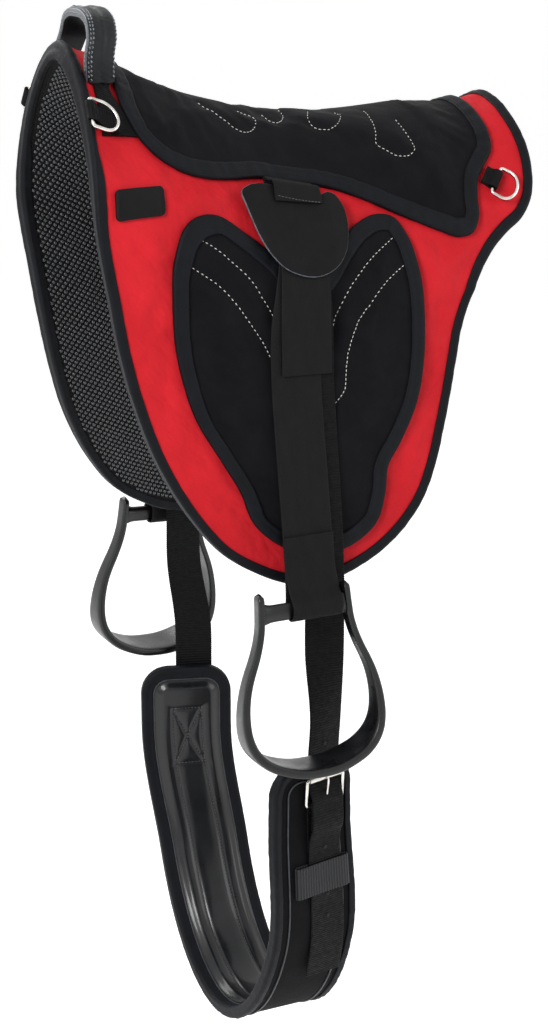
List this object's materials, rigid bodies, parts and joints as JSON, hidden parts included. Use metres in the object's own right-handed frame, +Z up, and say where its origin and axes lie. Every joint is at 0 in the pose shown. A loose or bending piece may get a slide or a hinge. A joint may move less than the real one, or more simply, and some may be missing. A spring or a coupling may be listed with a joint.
{
  "type": "bareback pad",
  "caption": "Padded bareback riding pad with a raised seat, knee pads, grab handle, tie rings, hanging stirrups and a girth buckled under the belly.",
  "frame": {"origin": "underside of the pad's spine at mid-length, where it rests on the horse's back", "axes": "+Z up, +X towards the horse's tail, -Y towards the near (left) side"},
  "size_m": [0.446, 0.4429, 1.0019],
  "materials": {
    "red_nylon": "smooth woven nylon, slightly wrinkled",
    "mesh": "knitted non-slip mesh with raised dots",
    "foam": "closed-cell foam",
    "gel": "soft gel foam",
    "suede": "matte short-nap suede cloth",
    "binding": "satin woven tape",
    "webbing": "ribbed woven webbing",
    "strap_webbing": "close woven webbing",
    "neoprene": "matte neoprene cloth",
    "vinyl": "glossy soft vinyl",
    "rubber": "satin moulded rubber",
    "leather": "matte leather",
    "stirrup_plastic": "satin moulded plastic",
    "nickel": "polished nickel plate",
    "handle_webbing": "padded woven webbing"
  },
  "bodies": {
    "pad_and_girth": {"mesh_lining": "mesh", "foam_core": "foam", "outer_cover": "red_nylon", "edge_binding": "binding", "seat_cover": "suede", "seat_gel_core": "gel", "seat_binding": "binding", "near_rubber_patch": "rubber", "grab_handle": "handle_webbing", "girth_body": "neoprene", "girth_binding": "binding", "girth_lining": "vinyl", "near_knee_cover": "suede", "near_knee_foam": "foam", "near_knee_binding": "binding", "near_pommel_webbing": "webbing", "near_front_ring_chape": "webbing", "near_rear_ring_chape": "webbing", "near_loop_chape": "webbing", "near_billet": "webbing", "near_buckle_frame": "nickel", "near_buckle_chape": "webbing", "near_keeper": "webbing", "far_knee_cover": "suede", "far_knee_foam": "foam", "far_knee_binding": "binding", "far_pommel_webbing": "webbing", "far_front_ring_chape": "webbing", "far_rear_ring_chape": "webbing", "far_loop_chape": "webbing", "far_billet": "webbing", "far_buckle_frame": "nickel", "far_buckle_chape": "webbing", "far_keeper": "webbing"},
    "near_strap": {"near_strap_loop": "nickel", "near_stirrup_strap": "strap_webbing"},
    "near_tab": {"near_leather_tab": "leather", "near_tab_hanger": "webbing"},
    "near_stirrup": {"near_stirrup": "stirrup_plastic"},
    "near_front_ring": {"near_front_ring": "nickel"},
    "near_rear_ring": {"near_rear_ring": "nickel"},
    "near_roller": {"near_buckle_roller": "nickel"},
    "near_tongue": {"near_buckle_tongue": "nickel"},
    "far_strap": {"far_strap_loop": "nickel", "far_stirrup_strap": "strap_webbing"},
    "far_tab": {"far_leather_tab": "leather", "far_tab_hanger": "webbing"},
    "far_stirrup": {"far_stirrup": "stirrup_plastic"},
    "far_front_ring": {"far_front_ring": "nickel"},
    "far_rear_ring": {"far_rear_ring": "nickel"},
    "far_roller": {"far_buckle_roller": "nickel"},
    "far_tongue": {"far_buckle_tongue": "nickel"}
  },
  "joints": [
    {"name": "near_strap_swing", "type": "hinge", "parent": "pad_and_girth", "child": "near_strap", "pos_m": [-0.03601, -0.109, -0.05112], "axis": [-0.995, 0.0008, 0.1002], "range_deg": [0, 45]},
    {"name": "near_tab_lift", "type": "hinge", "parent": "pad_and_girth", "child": "near_tab", "pos_m": [-0.03521, -0.09107, -0.02874], "axis": [-0.9815, 0.0453, 0.1858], "range_deg": [0, 45]},
    {"name": "near_stirrup_swing", "type": "hinge", "parent": "near_strap", "child": "near_stirrup", "pos_m": [-0.05231, -0.18586, -0.39691], "axis": [-0.9963, 0.0685, -0.0518], "range_deg": [0, 40]},
    {"name": "near_front_ring_lift", "type": "hinge", "parent": "pad_and_girth", "child": "near_front_ring", "pos_m": [-0.21807, -0.08525, 0.04008], "axis": [-0.0586, -0.5351, -0.8428], "range_deg": [0, 120]},
    {"name": "near_rear_ring_lift", "type": "hinge", "parent": "pad_and_girth", "child": "near_rear_ring", "pos_m": [0.17274, -0.10555, -0.03506], "axis": [-0.5884, -0.4146, -0.6942], "range_deg": [0, 120]},
    {"name": "near_roller_spin", "type": "hinge", "parent": "pad_and_girth", "child": "near_roller", "pos_m": [-0.02663, -0.15745, -0.575], "axis": [0.9615, 0.2749, 0], "continuous": true},
    {"name": "near_tongue_lift", "type": "hinge", "parent": "pad_and_girth", "child": "near_tongue", "pos_m": [-0.02706, -0.15607, -0.601], "axis": [0.9615, 0.2749, 0], "range_deg": [0, 5]},
    {"name": "far_strap_swing", "type": "hinge", "parent": "pad_and_girth", "child": "far_strap", "pos_m": [-0.03601, 0.109, -0.05112], "axis": [0.995, 0.0008, -0.1002], "range_deg": [0, 45]},
    {"name": "far_tab_lift", "type": "hinge", "parent": "pad_and_girth", "child": "far_tab", "pos_m": [-0.03521, 0.09107, -0.02874], "axis": [0.9815, 0.0453, -0.1858], "range_deg": [0, 45]},
    {"name": "far_stirrup_swing", "type": "hinge", "parent": "far_strap", "child": "far_stirrup", "pos_m": [-0.04062, 0.18679, -0.39955], "axis": [0.9966, 0.0687, -0.0454], "range_deg": [0, 40]},
    {"name": "far_front_ring_lift", "type": "hinge", "parent": "pad_and_girth", "child": "far_front_ring", "pos_m": [-0.21807, 0.08525, 0.04008], "axis": [0.0586, -0.5351, 0.8428], "range_deg": [0, 120]},
    {"name": "far_rear_ring_lift", "type": "hinge", "parent": "pad_and_girth", "child": "far_rear_ring", "pos_m": [0.17274, 0.10555, -0.03506], "axis": [0.5884, -0.4146, 0.6942], "range_deg": [0, 120]},
    {"name": "far_roller_spin", "type": "hinge", "parent": "pad_and_girth", "child": "far_roller", "pos_m": [-0.02663, 0.15745, -0.575], "axis": [0.9615, -0.2749, 0], "continuous": true},
    {"name": "far_tongue_lift", "type": "hinge", "parent": "pad_and_girth", "child": "far_tongue", "pos_m": [-0.02706, 0.15607, -0.601], "axis": [-0.9615, 0.2749, 0], "range_deg": [0, 5]}
  ],
  "couplings": [
    {"joint": "near_tab_lift", "follows": "near_strap_swing", "ratio": 0.85},
    {"joint": "far_tab_lift", "follows": "far_strap_swing", "ratio": 0.85}
  ]
}
